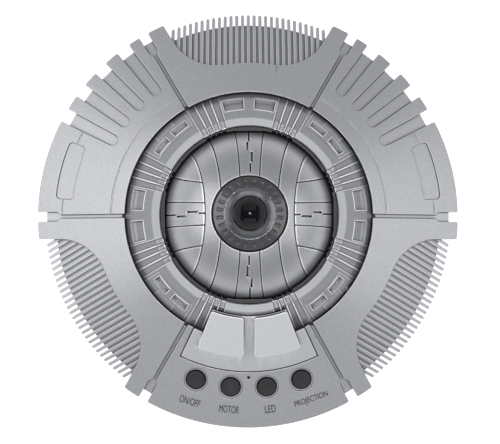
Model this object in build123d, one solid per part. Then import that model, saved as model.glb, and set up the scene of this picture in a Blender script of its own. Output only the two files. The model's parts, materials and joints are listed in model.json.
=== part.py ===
"""Home planetarium projector: a saucer-shaped base with a tilting projector ball.

All lengths are millimetres. +Z is up, the origin is on the axis of the saucer at
the level of the table, and the control buttons are at the front, towards -Y.
"""
from build123d import *
import os
from math import asin, cos, degrees, radians, sin, sqrt, tan

os.makedirs("parts", exist_ok=True)

# ------------------------------------------------------------ saucer deck
rim_radius = 110.0            # outer edge of the deck panels
rim_height = 40.0             # top of the deck at its outer edge
deck_slope = 26.3             # degrees that the deck rises towards the middle
panel_inner_radius = 63.2
panel_thickness = 2.1         # measured straight down
seat_gap = 0.1                # between parts that lie on each other
fit_gap = 0.3                 # between parts that sit beside each other
sector_angle = 60.0
tall = 140.0                  # height of the cutting prisms, above every part

# radial channels between the six deck panels
channel_width = 1.9
keyhole_width = 4.9
keyhole_radius = 100.1        # centre of the keyhole's round end
corner_round = 1.0            # corners of the panels at the rim

# finger panels
finger_slot_angles = (29.3, 37.35, 45.4, 53.5)
finger_slot_span = 4.25       # degrees
finger_slot_lean = 0.55       # degrees that a slot's rear side gives way at the rim
finger_slot_end_radius = 80.5
recess_inner_radius = 91.2
recess_outer_radius = 100.6
recess_start = 5.4
recess_end = 23.0
recess_corner = 2.2
recess_depth = 0.6
crease_radius = 70.4
crease_width = 0.5
crease_depth = 0.12
seam_radius = 96.6            # fine seam of the solid part, on both sides of its recess
seam_width = 0.3
seam_depth = 0.1

# bays of the three arm panels, which show the rib grilles
bay_arc_radius = 79.0
bay_fillet = 25.9
arm_width = 11.7
bay_overlap = 2.5             # how far a grille reaches under its panel

# rib grilles
rib_count = 27
rib_pitch = 3.03
rib_width = 1.8
rib_tip_radius = 106.2
rib_height = 1.0
grille_floor_radius = 100.3
grille_floor_thickness = 1.1

# lower layer of the deck and its skirt
housing_radius = 105.1
housing_skin = 1.8
skirt_radius = 98.8
skirt_wall = 2.2
skirt_bottom = 26.0
ledge_inner_radius = 58.6
ledge_height = 58.5           # top of the ledge that carries the collar
ledge_thickness = 2.0
ledge_wall = 1.8

# base pan
pan_bottom = 1.6
pan_wall = 2.2
pan_floor_radius = 78.0
pan_knee_radius = 92.0
pan_knee_height = 9.0
pan_boss_height = 7.0         # top of the screw bosses on its floor
foot_inner_radius = 58.0
foot_outer_radius = 66.0
foot_groove = 1.0
foot_chamfer = 0.4

# screws that join pan and housing
screw_circle = 72.5
screw_boss_radius = 4.0
screw_head_radius = 2.8
screw_head_height = 2.4
screw_shank_radius = 1.25
screw_length = 11.2           # of the shank
pilot_spare = 4.8             # free depth of a pilot hole past its screw
close_gap = 0.05              # round pieces that are pressed or screwed in
screw_places = range(0, 360, 60)

# collar round the ball
collar_foot_radius = 62.9
collar_flange_radius = 64.4
collar_flange_thickness = 1.8
lip_outer_radius = 48.8
lip_inner_radius = 44.4
lip_height = 79.5
lip_round = 0.5
collar_wall = 3.4             # measured level
collar_skirt = 1.6
collar_skirt_depth = 4.0
ridge_groups = 8
ridge_group_span = 15.5       # degrees
ridge_pitch = 3.9             # degrees
ridge_span = 0.8              # degrees
ridge_depth = 0.8
ridge_foot_depth = 0.4        # where the grooves run out at the foot
# windows and slots are sunk level into the cone, so each has a flat shelf at its foot
window_depth = 2.0
window_outer_radius = 60.0
window_inner_radius = 53.4
window_spans = ((2.9, 13.2), (-13.2, -2.9))
slot_depth = 1.7
slot_inner_radius = 54.0
slot_outer_radius = 57.9
slot_spans = ((2.0, 10.8), (-10.8, -2.0))
# thin raised plates round the slots: (inner radius, half span in degrees, height)
slot_plates = ((53.2, 13.0, 0.35), (58.7, 5.6, 0.7))

# dark trim ring just inside the lip, which glows when its lamps are on
trim_drop = 0.6
trim_radius = 42.6
trim_flat_x = 42.0
trim_flat_y = 41.85
trim_nose = 0.6
trim_root = 1.9
trim_wall = 1.0
trim_flange_radius = 47.0
trim_flange_thickness = 1.7
trim_notch_span = 14.6
trim_fin_span = 0.8
lamp_board_inner_radius = 48.4
lamp_board_thickness = 1.4
lamp_board_height = 66.4
lamp_count = 16
lamp_size = 2.0

# control panel, buttons and front ramp
button_angles = {"on_off": 252.1, "motor": 264.0, "led": 276.1, "projection": 288.0}
button_circle = 88.4
button_radius = 4.9
button_ring_radius = 6.15
button_ring_depth = 0.5
button_rise = 0.8
button_travel = 1.2
button_flange_radius = 6.0
button_flange_thickness = 1.0
button_stem_radius = 2.2
button_tip_radius = 1.6
indicator_circle = 82.8
indicator_radius = 0.6
ramp_start = 244.1
ramp_end = 296.2
ramp_outer_radius = 79.6
ramp_inner_radius = 50.3
ramp_inner_height = 77.65
ramp_wall = 2.3
ramp_side_gap = 0.35
pad_start = 248.6
pad_end = 291.5
pad_outer_radius = 71.8
pad_inner_radius = 51.4
pad_gap = 5.4
pad_outer_rise = 4.2
pad_inner_rise = 1.2
pad_corner = 1.2

# boards inside the base
board_thickness = 1.6
button_board_height = 33.0
button_board_length = 63.0
button_board_inner_y = 78.0
button_board_outer_y = 90.9
switch_size = 6.0
switch_height = 3.6
board_post_radius = 2.2
board_post_places = ((-18.3, -86.0), (18.3, -86.0), (0.0, -86.0))
main_board_length = 56.0
main_board_width = 28.0
main_board_y = 58.0
main_board_height = 10.0
standoff_radius = 2.5
# on the main board: (x, y from the board's centre, length, width, height)
board_parts = (
    (-6.0, 0.0, 9.0, 9.0, 1.2),      # processor
    (8.0, -4.0, 5.0, 6.0, 1.6),      # motor and lamp driver
    (-21.0, 0.0, 5.0, 16.0, 6.0),    # plug header
)
capacitor_place = (20.0, 5.0)
capacitor_radius = 4.0
capacitor_height = 9.0

# power socket in the rear of the skirt
socket_width = 9.0
socket_height = 3.6
socket_depth = 7.4
socket_wall = 0.4
socket_level = 32.0
socket_flange_width = 15.0
socket_flange_height = 8.0
socket_flange_thickness = 1.6

# projector ball
ball_radius = 47.5
ball_wall = 2.4
ball_height = 54.5            # centre of the ball above the table
ball_opening = 18.75
equator_ledge_depth = 3.0
equator_ledge_width = 3.4
cap_axis_tilt = 20.1          # degrees that a side cap's axis points up
cap_plane_distance = 35.0     # from the centre of the ball to the cap's plane
cap_gap = 0.35
line_width = 0.5
line_depth = 0.5
band_lines = ((12.9, 0.277), (4.3, 0.117))   # (offset at the top, lean)
cap_lines = ((5.2, 0.047), (13.7, 0.192))
# short slots that make a jogged joint line: (start, end, offset, width)
jog_slots = (
    (36.0, 42.0, 0.3, 0.7),
    (31.3, 36.0, 1.05, 0.95),
    (25.2, 30.7, -1.05, 0.95),
    (20.4, 25.2, -0.3, 0.7),
)
jog_depth = 0.9
# raised ticks where that line steps across: (distance, offset, length, turn)
jog_ticks = ((36.1, 0.7, 1.0, 30), (31.0, 0.0, 2.6, -22), (25.2, -0.6, 1.0, 30))
tick_width = 0.6
tick_rise = 0.2

# tilt pivots
pin_radius = 4.0
pin_outer_reach = 55.6
pin_head_radius = 6.0
pin_head_thickness = 1.6
pin_boss_radius = 6.4
pin_boss_depth = 1.5          # how far a side cap's boss reaches inside the ball
pin_clearance = 0.08
bushing_radius = 5.6
bracket_inner = 50.3
bracket_outer = 55.3
bracket_half_width = 9.5
bracket_foot_half_length = 12.0
bracket_foot_inner = 44.0
bracket_foot_outer = 62.0
bracket_foot_thickness = 2.6
washer_radius = 8.0
washer_thickness = 1.2

# focus ring and its bezel, heights above the centre of the ball
focus_radius = 17.7
focus_bottom = 44.8
focus_edge = 46.4
focus_step_radius = 12.6
focus_step_height = 49.4
focus_bore = 11.9
focus_hub_radius = 16.2
focus_hub_bottom = 40.3
flute_count = 24
flute_radius = 0.9
flute_length = 2.2            # between the centres of its two round ends
flute_lift = 0.3              # of its axis above the cone
flute_offset = -0.35          # of its middle outwards from the middle of the cone
bezel_bottom = 46.9
bezel_inner_height = 48.2

# lens barrel and sleeve
sleeve_radius = 11.6
sleeve_bottom = 27.0
sleeve_top = 46.6
sleeve_flange_radius = 20.6
sleeve_flange_top = 40.0
sleeve_flange_thickness = 1.8
barrel_radius = 7.9
barrel_bottom = 26.0
barrel_top = 51.0
barrel_window = 5.5
barrel_bore = 6.7
barrel_chamfer = 0.4
barrel_step_width = 0.9
barrel_step_depth = 0.7
front_glass_height = 49.6
front_glass_thickness = 1.6
front_glass_crown = 1.0
rear_glass_height = 30.0
rear_glass_thickness = 2.6
rear_glass_crown = 1.2
retainer_height = 2.0
retainer_wall = 1.15

# star disc, its gears and the motor
plate_thickness = 2.0
hub_radius = 20.2
hub_inner_radius = 15.0
hub_height = 3.2
gear_module = 0.8
disc_teeth = 60
idler_teeth = 20
pinion_teeth = 10
gear_lift = 0.4
gear_height = 4.6
tooth_share = 0.42            # of the pitch, at the pitch circle
tooth_tip_share = 0.55        # of a tooth's width at the pitch circle
tooth_root_share = 1.35
tooth_addendum = 0.85         # in modules
tooth_dedendum = 1.3
tooth_root_sink = 0.2
disc_radius = 22.0
disc_thickness = 1.2
clamp_height = 0.9
clamp_outer_overlap = 0.8
clamp_inner_overlap = 1.6
axle_radius = 1.5
axle_head_radius = 2.7
axle_head_thickness = 0.8
axle_clearance = 0.08
shaft_radius = 1.0
motor_radius = 6.0
motor_flat = 5.0
motor_length = 17.0
motor_boss_radius = 2.8
motor_cap_radius = 3.0
motor_cap_height = 1.5
lamp_tube_radius = 15.0
lamp_tube_bore = 13.1
lamp_tube_depth = 15.0
condenser_edge = 2.0
condenser_crown = 4.2
heat_sink_radius = 16.0
heat_sink_base = 3.0
heat_sink_fin = 7.0
fin_count = 7
fin_thickness = 1.2
led_board_radius = 10.0
led_board_notch = 1.6
led_radius = 2.6

# ------------------------------------------------------- derived sizes
deck_rise = tan(radians(deck_slope))
housing_top_drop = panel_thickness + seat_gap
rib_top_drop = panel_thickness + seat_gap
floor_top_drop = rib_top_drop + rib_height
floor_bottom_drop = floor_top_drop + grille_floor_thickness
skin_top_drop = floor_bottom_drop + seat_gap
skin_bottom_drop = skin_top_drop + housing_skin
pan_floor_top = pan_bottom + pan_wall
collar_foot_height = ledge_height + collar_flange_thickness
collar_rise = (lip_height - lip_round - collar_foot_height) / (collar_foot_radius - lip_outer_radius)
ball_centre = Pos(0, 0, ball_height)
inner_ball_radius = ball_radius - ball_wall
gear_bottom = plate_thickness + gear_lift
disc_gear_radius = gear_module * disc_teeth / 2
idler_distance = gear_module * (disc_teeth + idler_teeth) / 2
pinion_distance = gear_module * (idler_teeth + pinion_teeth) / 2


# ------------------------------------------------------------- helpers
def deck_height(radius):
    """Height of the top of the deck at a radius."""
    return rim_height + (rim_radius - radius) * deck_rise


def ramp_height(radius):
    """Height of the top of the front ramp at a radius."""
    share = (ramp_outer_radius - radius) / (ramp_outer_radius - ramp_inner_radius)
    return deck_height(ramp_outer_radius) * (1 - share) + ramp_inner_height * share


def collar_height(radius):
    """Height of the collar's outer cone at a radius."""
    return collar_foot_height + (collar_foot_radius - radius) * collar_rise


def polar(radius, angle):
    return (radius * cos(radians(angle)), radius * sin(radians(angle)))


def turned(corners):
    """Solid of revolution about the vertical axis from (radius, height) corners."""
    return revolve(Plane.XZ * make_face(Polyline(*corners, close=True)), Axis.Z)


def deck_layer(inner, outer, top_drop, bottom_drop):
    """Conical layer that lies between two drops below the top of the deck."""
    return turned([
        (inner, deck_height(inner) - top_drop),
        (outer, deck_height(outer) - top_drop),
        (outer, deck_height(outer) - bottom_drop),
        (inner, deck_height(inner) - bottom_drop),
    ])


def sector(inner, outer, start, end):
    """Flat piece of a ring between two radii and two angles."""
    middle = (start + end) / 2
    return make_face([
        Line(polar(inner, start), polar(outer, start)),
        ThreePointArc(polar(outer, start), polar(outer, middle), polar(outer, end)),
        Line(polar(outer, end), polar(inner, end)),
        ThreePointArc(polar(inner, end), polar(inner, middle), polar(inner, start)),
    ])


def prism(outline):
    return extrude(outline, tall)


def tube(outer, inner, bottom, top):
    """Ring with square edges about the vertical axis."""
    return turned([(inner, bottom), (outer, bottom), (outer, top), (inner, top)])


def rod(radius, bottom, top):
    return Pos(0, 0, (bottom + top) / 2) * Cylinder(radius, top - bottom)


def save(name, shape):
    """Write one named sub-part as a STEP file of its solids."""
    solids = shape.solids()
    export_step(solids[0] if len(solids) == 1 else Compound(children=list(solids)), f"parts/{name}.step")


# ------------------------------------------------------- deck outlines
def channel(angle):
    """Radial groove between two deck panels, with its keyhole at the rim."""
    reach = rim_radius + keyhole_width
    groove_inner = panel_inner_radius - keyhole_width
    groove = Pos((groove_inner + reach) / 2, 0) * Rectangle(reach - groove_inner, channel_width)
    mouth = Pos((keyhole_radius + reach) / 2, 0) * Rectangle(reach - keyhole_radius, keyhole_width)
    round_end = Pos(keyhole_radius, 0) * Circle(keyhole_width / 2)
    return Rot(0, 0, angle) * (groove + mouth + round_end)


def panel_outline(start):
    """Sixth of the deck, less half of the channel on each side."""
    outline = sector(panel_inner_radius, rim_radius, start, start + sector_angle)
    return outline - channel(start) - channel(start + sector_angle)


def round_rim_corners(outline):
    corners = [v for v in outline.vertices() if sqrt(v.X**2 + v.Y**2) > rim_radius - corner_round]
    return fillet(corners, corner_round)


def finger_slot(angle):
    """Tapered slot with a round inner end, open at the rim."""
    half = finger_slot_span / 2
    start_radius = finger_slot_end_radius * cos(radians(half))
    reach = rim_radius + keyhole_width
    wedge = make_face(Polyline(
        polar(start_radius, angle - half),
        polar(reach, angle - half),
        polar(reach, angle + half - finger_slot_lean),
        polar(start_radius, angle + half),
        close=True,
    ))
    end = Pos(*polar(finger_slot_end_radius, angle)) * Circle(finger_slot_end_radius * sin(radians(half)))
    return wedge + end


def bay(middle, grow=0.0):
    """Concave opening of an arm panel, open at the rim; grow widens it all round."""
    arc, blend, arm = bay_arc_radius - grow, bay_fillet + grow, arm_width - grow
    half_sector = sector_angle / 2
    centre_angle = half_sector - degrees(asin((arm + blend) / (arc + blend)))
    centre = Vector(*polar(arc + blend, centre_angle))
    along = Vector(*polar(1, half_sector))
    inward = Vector(along.Y, -along.X)
    arc_end = Vector(*polar(arc, centre_angle))
    arm_start = centre - inward * blend
    arm_end = arm_start + along * (rim_radius / 2)
    to_middle = (arc_end - centre) + (arm_start - centre)
    blend_middle = centre + to_middle.normalized() * blend

    def flip(point):
        return Vector(point.X, -point.Y)

    outline = make_face([
        ThreePointArc(flip(arc_end), Vector(arc, 0), arc_end),
        ThreePointArc(arc_end, blend_middle, arm_start),
        Line(arm_start, arm_end),
        Line(arm_end, flip(arm_end)),
        Line(flip(arm_end), flip(arm_start)),
        ThreePointArc(flip(arm_start), flip(blend_middle), flip(arc_end)),
    ])
    return Rot(0, 0, middle) * outline


def ramp_outline(gap):
    """Plan of the front ramp: wide on the deck, narrower over the collar."""
    gap_angle = degrees(gap / ramp_outer_radius)
    inner = panel_inner_radius - gap
    wide = sector(inner, ramp_outer_radius + gap, ramp_start - gap_angle, ramp_end + gap_angle)
    narrow = sector(ramp_inner_radius, collar_flange_radius, pad_start - gap_angle, pad_end + gap_angle)
    return wide + narrow


# ---------------------------------------------------------- deck panels
def crease():
    """Shallow groove round the inner part of a panel."""
    half = crease_width / 2
    return deck_layer(crease_radius - half, crease_radius + half, -1, crease_depth)


def finger_panel():
    """Right-hand finger panel: a solid part, four slots and four fingers."""
    outline = panel_outline(0)
    for angle in finger_slot_angles:
        outline = outline - finger_slot(angle)
    outline = round_rim_corners(outline)
    panel = prism(outline) & deck_layer(panel_inner_radius - 1, rim_radius + 1, 0, panel_thickness)
    recess = sector(recess_inner_radius, recess_outer_radius, recess_start, recess_end)
    recess = fillet(recess.vertices(), recess_corner)
    panel = panel - (prism(recess) & deck_layer(panel_inner_radius, rim_radius, -1, recess_depth))
    seam = sector(seam_radius - seam_width / 2, seam_radius + seam_width / 2, 0, finger_slot_angles[0])
    seam = prism(seam) & deck_layer(panel_inner_radius, rim_radius, -1, seam_depth)
    return panel - crease() - seam


def arm_panel(middle):
    """Panel with two arms round a concave bay."""
    outline = panel_outline(middle - sector_angle / 2) - bay(middle)
    outline = round_rim_corners(outline)
    return prism(outline) & deck_layer(panel_inner_radius - 1, rim_radius + 1, 0, panel_thickness)


def control_panel():
    """Front panel with holes for the four buttons and the indicator."""
    outline = panel_outline(270 - sector_angle / 2) - ramp_outline(ramp_side_gap)
    outline = round_rim_corners(outline)
    rings = Sketch()
    for angle in button_angles.values():
        outline = outline - Pos(*polar(button_circle, angle)) * Circle(button_radius + fit_gap)
        rings = rings + Pos(*polar(button_circle, angle)) * Circle(button_ring_radius)
    outline = outline - Pos(*polar(indicator_circle, 270)) * Circle(indicator_radius + close_gap)
    panel = prism(outline) & deck_layer(panel_inner_radius - 1, rim_radius + 1, 0, panel_thickness)
    ring_cut = prism(rings) & deck_layer(panel_inner_radius, rim_radius, -1, button_ring_depth)
    return panel - ring_cut - crease()


def rib_grille(middle):
    """Floor plate with parallel ribs whose round tips stand out past the floor."""
    opening = bay(middle, bay_overlap)
    floor = (prism(opening & Circle(grille_floor_radius))
             & deck_layer(panel_inner_radius, rim_radius, floor_top_drop, floor_bottom_drop))
    ribs = Sketch()
    for index in range(rib_count):
        across = (index - (rib_count - 1) / 2) * rib_pitch
        tip = sqrt(rib_tip_radius**2 - across**2) - rib_width / 2
        inner = panel_inner_radius
        rib = Pos((inner + tip) / 2, across) * Rectangle(tip - inner, rib_width)
        ribs = ribs + rib + Pos(tip, across) * Circle(rib_width / 2)
    rib_plan = (Rot(0, 0, middle) * ribs) & opening
    standing = prism(rib_plan) & deck_layer(panel_inner_radius, rim_radius, rib_top_drop, floor_bottom_drop)
    return floor + standing


# ------------------------------------------------------- housing and pan
def deck_housing():
    """Conical lower layer of the deck, its skirt, the collar ledge and the screw bosses."""
    layer = deck_layer(collar_flange_radius + fit_gap, housing_radius, housing_top_drop, skin_top_drop)
    for middle in (90, 210, 330):
        layer = layer - prism(bay(middle, bay_overlap + fit_gap))
    skin = deck_layer(collar_flange_radius + fit_gap, skirt_radius, skin_top_drop, skin_bottom_drop)
    skirt_top = deck_height(skirt_radius) - skin_top_drop
    skirt = tube(skirt_radius, skirt_radius - skirt_wall, skirt_bottom, skirt_top)
    wall_radius = collar_flange_radius + fit_gap
    wall_top = deck_height(wall_radius + ledge_wall) - housing_top_drop
    ledge_bottom = ledge_height - ledge_thickness
    ledge = turned([
        (ledge_inner_radius, ledge_bottom),
        (wall_radius + ledge_wall, ledge_bottom),
        (wall_radius + ledge_wall, wall_top),
        (wall_radius, wall_top),
        (wall_radius, ledge_height),
        (ledge_inner_radius, ledge_height),
    ])
    housing = layer + skin + skirt + ledge
    boss_top = deck_height(screw_circle) - skin_top_drop - housing_skin / 2
    pilot_top = pan_bottom + screw_head_height + screw_length + pilot_spare
    for angle in screw_places:
        place = Pos(*polar(screw_circle, angle))
        housing = housing + place * rod(screw_boss_radius, pan_boss_height + seat_gap, boss_top)
        housing = housing - place * rod(screw_shank_radius + close_gap, 0, pilot_top)
    for x, y in board_post_places:
        post_top = deck_height(sqrt(x**2 + y**2)) - skin_bottom_drop + housing_skin / 2
        post = rod(board_post_radius, button_board_height + board_thickness + seat_gap, post_top)
        housing = housing + Pos(x, y) * post
    for angle in button_angles.values():
        hole = rod(button_radius + fit_gap, button_board_height + switch_size, tall)
        housing = housing - Pos(*polar(button_circle, angle)) * hole
    housing = housing - Pos(*polar(indicator_circle, 270)) * rod(indicator_radius + close_gap, 0, tall)
    socket_hole = Box(socket_width + 2 * seat_gap, 4 * skirt_wall, socket_height + 2 * seat_gap)
    return housing - Pos(0, skirt_radius, socket_level) * socket_hole


def base_pan():
    """Shallow bowl with a groove for the foot ring, screw bosses and standoffs."""
    outer = [(pan_floor_radius, pan_bottom), (pan_knee_radius, pan_knee_height), (skirt_radius, skirt_bottom)]
    knee_inset = pan_wall * 0.8
    inner = [
        (skirt_radius - pan_wall, skirt_bottom),
        (pan_knee_radius - knee_inset, pan_knee_height + knee_inset),
        (pan_floor_radius - knee_inset / 4, pan_floor_top),
        (0, pan_floor_top),
    ]
    pan = turned([(0, pan_bottom)] + outer + inner)
    pan = pan - tube(foot_outer_radius + seat_gap, foot_inner_radius - seat_gap, 0, pan_bottom + foot_groove)
    for angle in screw_places:
        place = Pos(*polar(screw_circle, angle))
        pan = pan + place * rod(screw_boss_radius, pan_bottom, pan_boss_height)
        head_pocket = rod(screw_head_radius + fit_gap, 0, pan_bottom + screw_head_height + fit_gap)
        pan = pan - place * head_pocket
        pan = pan - place * rod(screw_shank_radius + close_gap, 0, tall / 2)
    for x in (-1, 1):
        for y in (-1, 1):
            place = Pos(
                x * (main_board_length / 2 - standoff_radius),
                main_board_y + y * (main_board_width / 2 - standoff_radius),
            )
            pan = pan + place * rod(standoff_radius, pan_bottom + pan_wall / 2, main_board_height - seat_gap)
    return pan


def base_screws():
    """Six round-headed screws up through the pan into the housing bosses."""
    screws = Part()
    head_top = pan_bottom + screw_head_height + fit_gap - close_gap
    head_bottom = head_top - screw_head_height
    for angle in screw_places:
        head = rod(screw_head_radius, head_bottom, head_top)
        head = chamfer(head.edges().group_by(Axis.Z)[0], screw_head_height / 4)
        cross = Box(screw_head_radius, screw_shank_radius / 2, screw_head_height)
        cross = cross + Rot(0, 0, 90) * cross
        head = head - Pos(0, 0, head_bottom) * cross
        shank = rod(screw_shank_radius, head_top, head_top + screw_length)
        screws = screws + Pos(*polar(screw_circle, angle)) * (head + shank)
    return screws


def foot_ring():
    ring = tube(foot_outer_radius, foot_inner_radius, 0, pan_bottom + foot_groove - close_gap)
    return chamfer(ring.edges().group_by(Axis.Z)[0], foot_chamfer)


# ------------------------------------------------------ collar and trim
def collar_ring():
    """Cone that rises inwards to the bright lip, with ridges and windows."""
    lip_bottom = lip_height - collar_skirt_depth
    inner_top = lip_height - collar_skirt - lip_round
    flange_inner = collar_foot_radius - collar_wall + collar_flange_thickness / collar_rise
    collar = turned([
        (flange_inner, ledge_height + seat_gap),
        (collar_flange_radius, ledge_height + seat_gap),
        (collar_flange_radius, collar_foot_height),
        (collar_foot_radius, collar_foot_height),
        (lip_outer_radius, lip_height - lip_round),
        (lip_outer_radius - lip_round, lip_height),
        (lip_inner_radius + lip_round, lip_height),
        (lip_inner_radius, lip_height - lip_round),
        (lip_inner_radius, lip_bottom),
        (lip_inner_radius + collar_skirt, lip_bottom),
        (lip_inner_radius + collar_skirt, inner_top),
        (lip_outer_radius - collar_wall / 2, inner_top),
    ])

    inside = lip_inner_radius - 1
    outside = collar_flange_radius + 1
    above_grooves = turned([
        (outside, collar_foot_height),
        (collar_foot_radius - ridge_foot_depth, collar_foot_height),
        (lip_outer_radius - ridge_depth, lip_height - ridge_depth),
        (inside, lip_height - ridge_depth),
        (inside, lip_height + 1),
        (outside, lip_height + 1),
    ])

    def sunk(inner, outer, depth):
        """Band of the cone between two radii, sunk level by a depth."""
        bottom = collar_height(outer)
        top = collar_height(inner)
        return turned([(outer - depth, bottom), (outer + 1, bottom), (inner + 1, top), (inner - depth, top)])

    for index in range(1, ridge_groups, 2):
        middle = 360 / ridge_groups * index
        for inner, half, height in slot_plates:
            plate = sector(inner - height, collar_foot_radius + height, middle - half, middle + half)
            top = collar_height(inner)
            proud = turned([
                (collar_foot_radius + height, collar_foot_height),
                (inner + height, top),
                (inner - 1, top),
                (collar_foot_radius - 1, collar_foot_height),
            ])
            collar = collar + (prism(plate) & proud)

    grooves = Sketch()
    group_step = 360 / ridge_groups
    for index in range(ridge_groups):
        middle = group_step * (index + 0.5)
        half = ridge_group_span / 2
        strip = sector(inside, outside, middle - half, middle + half)
        for ridge in (-1, 0, 1):
            place = middle + ridge * ridge_pitch
            strip = strip - sector(inside - 1, outside + 1, place - ridge_span / 2, place + ridge_span / 2)
        grooves = grooves + strip
    collar = collar - (prism(grooves) & above_grooves)

    windows = Sketch()
    slots = Sketch()
    for index in range(ridge_groups):
        middle = group_step * index
        if index == 6:
            continue
        if index % 2 == 0:
            for start, end in window_spans:
                windows = windows + sector(lip_inner_radius, outside, middle + start, middle + end)
        else:
            for start, end in slot_spans:
                slots = slots + sector(lip_inner_radius, outside, middle + start, middle + end)
    collar = collar - (prism(windows) & sunk(window_inner_radius, window_outer_radius, window_depth))
    return collar - (prism(slots) & sunk(slot_inner_radius, slot_outer_radius, slot_depth))


def trim_ring():
    """Dark ring under the lip, with four flats and a notch at each ridge group."""
    top = lip_height - trim_drop
    skirt_bottom_height = lip_height - collar_skirt_depth - seat_gap
    ring = turned([
        (trim_radius - 2, top),
        (lip_inner_radius - fit_gap, top),
        (lip_inner_radius - fit_gap, skirt_bottom_height),
        (trim_flange_radius, skirt_bottom_height),
        (trim_flange_radius, skirt_bottom_height - trim_flange_thickness),
        (lip_inner_radius, skirt_bottom_height - trim_flange_thickness),
        (lip_inner_radius - trim_wall, top - trim_root),
        (trim_radius - 2, top - trim_nose),
    ])
    hole = Circle(trim_radius) & Rectangle(2 * trim_flat_x, 2 * trim_flat_y)
    ring = ring - prism(hole)
    notches = Sketch()
    for index in range(ridge_groups):
        middle = 360 / ridge_groups * (index + 0.5)
        half = trim_notch_span / 2
        notch = sector(trim_radius - 2, lip_inner_radius - 1, middle - half, middle + half)
        for fin in (-1, 0, 1):
            place = middle + fin * ridge_pitch
            notch = notch - sector(
                trim_radius - 3, lip_inner_radius, place - trim_fin_span / 2, place + trim_fin_span / 2
            )
        notches = notches + notch
    return ring - prism(notches)


def lamp_board_outer_radius():
    """Outer edge of the lamp board, which rests against the inside of the collar."""
    top = lamp_board_height + lamp_board_thickness
    return collar_foot_radius + (collar_foot_height - top) / collar_rise - collar_wall - fit_gap


def lamp_board():
    """Ring-shaped board under the collar that carries the lamps of the trim ring."""
    outer = lamp_board_outer_radius()
    return tube(outer, lamp_board_inner_radius, lamp_board_height, lamp_board_height + lamp_board_thickness)


def lamp_chips():
    chips = Part()
    circle = (lamp_board_outer_radius() + lamp_board_inner_radius) / 2
    height = lamp_board_height + lamp_board_thickness + lamp_size / 4
    for index in range(lamp_count):
        angle = 360 / lamp_count * (index + 0.5)
        chips = chips + Rot(0, 0, angle) * Pos(circle, 0, height) * Box(lamp_size, lamp_size, lamp_size / 2)
    return chips


# ---------------------------------------------------------- front ramp
def front_ramp():
    """Ramp from the control panel up to the lip, with two raised pads."""
    # the underside lies on the housing, then clears the collar's flange and cone
    outer, inner = ramp_outer_radius, ramp_inner_radius
    wall_radius = collar_flange_radius + fit_gap
    drop = housing_top_drop - seat_gap
    body = turned([
        (outer, deck_height(outer)),
        (inner, ramp_inner_height),
        (inner, collar_height(inner) + seat_gap),
        (collar_foot_radius, collar_foot_height + seat_gap),
        (wall_radius, collar_foot_height + seat_gap),
        (wall_radius, deck_height(wall_radius) - drop),
        (outer, deck_height(outer) - drop),
    ])
    ramp = prism(ramp_outline(0)) & body
    hollow_start = ramp_start + 2
    hollow_end = ramp_end - 2
    hollow_inner = wall_radius + ramp_wall
    hollow_outer = outer - 1.5 * ramp_wall
    hollow = prism(sector(hollow_inner, hollow_outer, hollow_start, hollow_end)) & turned([
        (hollow_inner, ledge_height - 10),
        (hollow_outer, ledge_height - 10),
        (hollow_outer, ramp_height(hollow_outer) - ramp_wall),
        (hollow_inner, ramp_height(hollow_inner) - ramp_wall),
    ])
    ramp = ramp - hollow
    pad_layer = turned([
        (pad_outer_radius, ramp_height(pad_outer_radius) - seat_gap),
        (pad_outer_radius, ramp_height(pad_outer_radius) + pad_outer_rise),
        (pad_inner_radius, ramp_height(pad_inner_radius) + pad_inner_rise),
        (pad_inner_radius, ramp_height(pad_inner_radius) - seat_gap),
    ])
    pads = sector(pad_inner_radius, pad_outer_radius, pad_start, pad_end)
    pads = pads - Pos(0, -rim_radius / 2) * Rectangle(pad_gap, rim_radius)
    pads = fillet(pads.vertices(), pad_corner)
    return ramp + (prism(pads) & pad_layer)


# ------------------------------------------------------------- controls
def button_flange_top():
    """Level of a button's flange, just under the lowest part of the housing above it."""
    outer_edge = button_circle + button_flange_radius
    return deck_height(outer_edge) - skin_bottom_drop - 2 * seat_gap


def button(angle):
    """Round push button whose top follows the slope of the deck."""
    flange_top = button_flange_top()
    flange_bottom = flange_top - button_flange_thickness
    place = Pos(*polar(button_circle, angle))
    below_top = deck_layer(panel_inner_radius, rim_radius, -button_rise, rim_height / 2)
    cap = place * rod(button_radius, flange_bottom, tall) & below_top
    flange = place * rod(button_flange_radius, flange_bottom, flange_top)
    stem_bottom = button_board_height + board_thickness + switch_height + button_travel + fit_gap
    stem = place * rod(button_stem_radius, stem_bottom, flange_top)
    tip = place * rod(button_tip_radius, stem_bottom - button_travel - 2 * fit_gap, flange_top)
    return cap + flange + stem + tip


def tact_switches():
    """Four square switches with a well that takes the tip of each button."""
    switches = Part()
    bottom = button_board_height + board_thickness
    for angle in button_angles.values():
        place = Pos(*polar(button_circle, angle))
        body = Pos(0, 0, bottom + switch_height / 2) * Box(switch_size, switch_size, switch_height)
        well = rod(button_tip_radius + fit_gap, bottom + board_thickness, tall)
        switches = switches + place * (body - well)
    return switches


def button_board():
    width = button_board_outer_y - button_board_inner_y
    middle = -(button_board_outer_y + button_board_inner_y) / 2
    height = button_board_height + board_thickness / 2
    return Pos(0, middle, height) * Box(button_board_length, width, board_thickness)


def indicator_light():
    top = deck_height(indicator_circle)
    bottom = button_board_height + board_thickness
    return Pos(*polar(indicator_circle, 270)) * rod(indicator_radius, bottom, top)


def main_board():
    height = main_board_height + board_thickness / 2
    return Pos(0, main_board_y, height) * Box(main_board_length, main_board_width, board_thickness)


def board_components():
    """Processor, driver chip, plug header and storage capacitor on the main board."""
    top = main_board_height + board_thickness
    x, y = capacitor_place
    parts = Part() + Pos(x, main_board_y + y) * rod(capacitor_radius, top, top + capacitor_height)
    for x, y, length, width, height in board_parts:
        parts = parts + Pos(x, main_board_y + y, top + height / 2) * Box(length, width, height)
    return parts


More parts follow.
